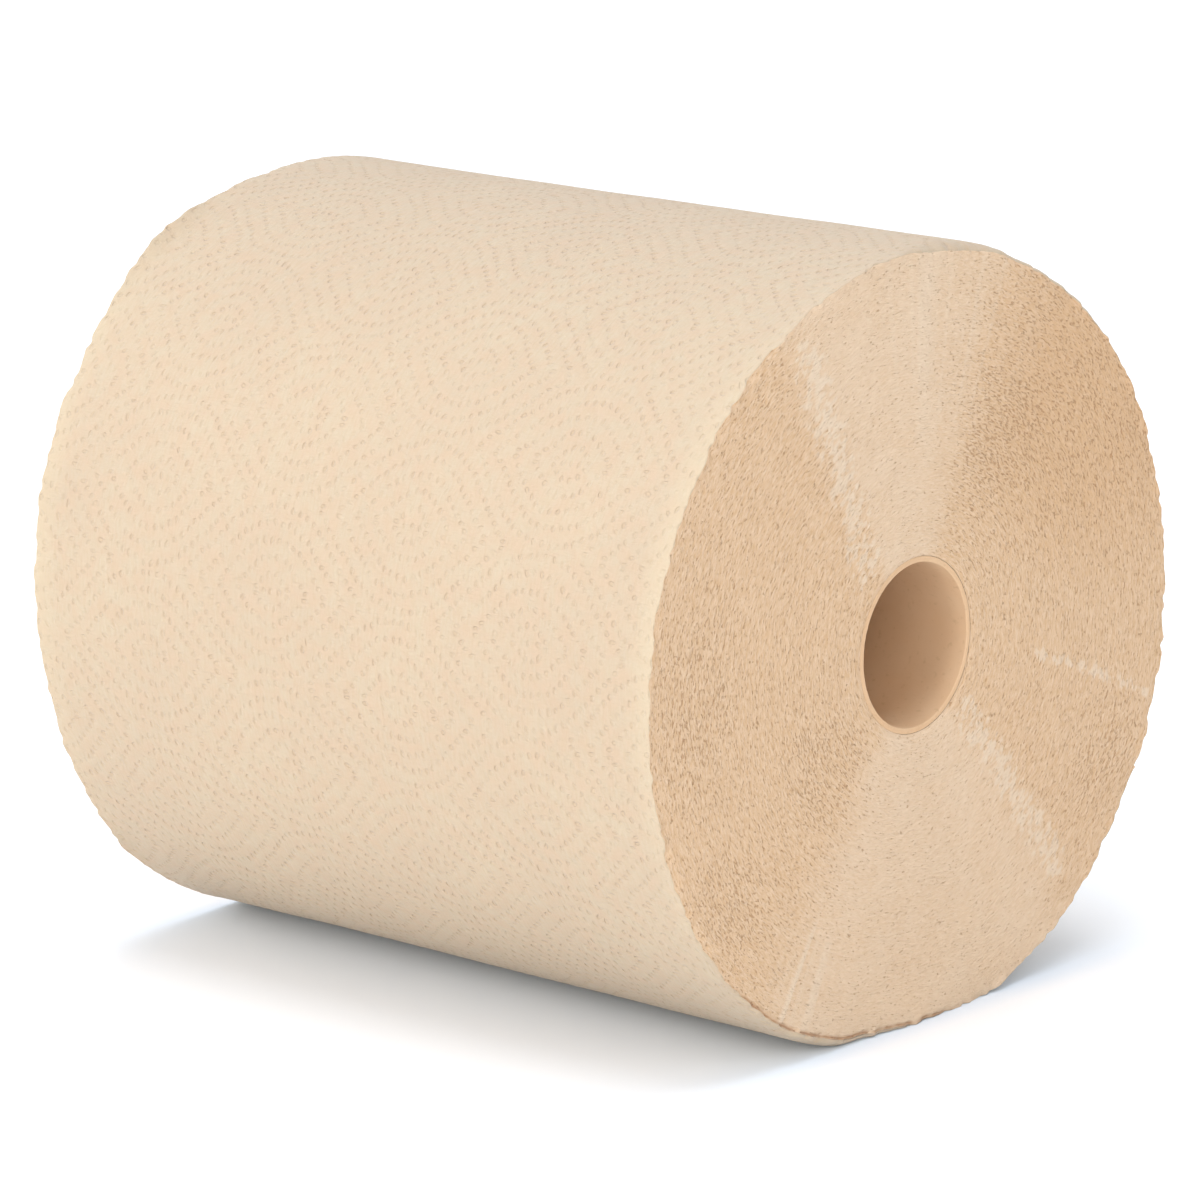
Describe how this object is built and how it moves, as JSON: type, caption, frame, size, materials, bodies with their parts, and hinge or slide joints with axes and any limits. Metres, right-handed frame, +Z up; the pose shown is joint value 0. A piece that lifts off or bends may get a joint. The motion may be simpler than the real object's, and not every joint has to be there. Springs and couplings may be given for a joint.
{
  "type": "paper towel roll",
  "caption": "Large roll of embossed natural kraft paper towel wound tightly on a cardboard core, slumped slightly oval and lying on a small flat spot.",
  "frame": {"origin": "on the surface that the roll lies on, under the middle of its bounding box", "axes": "+X along the core towards the end that is seen, +Z up, and the front side faces -Y"},
  "size_m": [0.2, 0.2048, 0.1924],
  "materials": {
    "kraft_towel_paper": "matte creped tissue, dot embossed",
    "core_board": "matte spiral wound board"
  },
  "bodies": {
    "root": {"paper_winding": "kraft_towel_paper", "core_tube": "core_board"}
  },
  "joints": []
}
